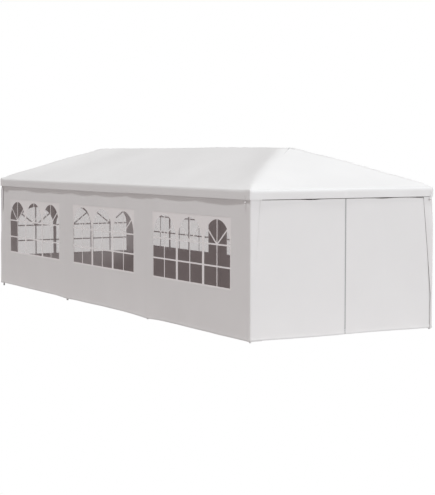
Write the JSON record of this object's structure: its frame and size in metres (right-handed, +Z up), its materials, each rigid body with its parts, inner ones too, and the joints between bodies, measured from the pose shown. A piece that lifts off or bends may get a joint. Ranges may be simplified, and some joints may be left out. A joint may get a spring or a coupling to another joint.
{
  "type": "marquee tent",
  "caption": "Long hipped marquee tent: tube frame with legs, joints, rails and rafters, cloth roof with valance, arched window walls and a zip door in the gable.",
  "frame": {"origin": "on the ground, in the middle of the tent's plan", "axes": "+X along the ridge towards the gable with the zip door, +Y towards the left long side, +Z up"},
  "size_m": [9, 3, 2.5499],
  "materials": {
    "roof_cloth": "white coated polyethylene sheet, satin, faint weave",
    "wall_cloth": "white woven polyethylene sheet, satin",
    "window_film": "clear film, glossy",
    "zip_tape": "woven tape with moulded teeth",
    "frame_tube": "white powder coat",
    "joint_fittings": "moulded plastic, matte"
  },
  "bodies": {
    "root": {"corner_joint_left_front": "joint_fittings", "corner_joint_left_rear": "joint_fittings", "corner_joint_right_front": "joint_fittings", "corner_joint_right_rear": "joint_fittings", "door_curtain_left": "wall_cloth", "door_curtain_right": "wall_cloth", "door_zip": "zip_tape", "eave_joint_left_front": "joint_fittings", "eave_joint_left_rear": "joint_fittings", "eave_joint_right_front": "joint_fittings", "eave_joint_right_rear": "joint_fittings", "eave_rail_left_front": "frame_tube", "eave_rail_left_mid": "frame_tube", "eave_rail_left_rear": "frame_tube", "eave_rail_right_front": "frame_tube", "eave_rail_right_mid": "frame_tube", "eave_rail_right_rear": "frame_tube", "gable_rail_front": "frame_tube", "gable_rail_rear": "frame_tube", "hip_rafter_left_front": "frame_tube", "hip_rafter_left_rear": "frame_tube", "hip_rafter_right_front": "frame_tube", "hip_rafter_right_rear": "frame_tube", "leg_left_1": "frame_tube", "leg_left_2": "frame_tube", "leg_left_3": "frame_tube", "leg_left_4": "frame_tube", "leg_right_1": "frame_tube", "leg_right_2": "frame_tube", "leg_right_3": "frame_tube", "leg_right_4": "frame_tube", "rafter_left_front": "frame_tube", "rafter_left_rear": "frame_tube", "rafter_right_front": "frame_tube", "rafter_right_rear": "frame_tube", "rear_wall": "wall_cloth", "ridge_end_joint_front": "joint_fittings", "ridge_end_joint_rear": "joint_fittings", "ridge_joint_front": "joint_fittings", "ridge_joint_rear": "joint_fittings", "ridge_tube_front": "frame_tube", "ridge_tube_mid": "frame_tube", "ridge_tube_rear": "frame_tube", "roof_panel_front": "roof_cloth", "roof_panel_left": "roof_cloth", "roof_panel_rear": "roof_cloth", "roof_panel_right": "roof_cloth", "side_wall_left_front": "wall_cloth", "side_wall_left_mid": "wall_cloth", "side_wall_left_rear": "wall_cloth", "side_wall_right_front": "wall_cloth", "side_wall_right_mid": "wall_cloth", "side_wall_right_rear": "wall_cloth", "window_film_left": "window_film", "window_film_rear": "window_film", "window_film_right": "window_film"}
  },
  "joints": []
}
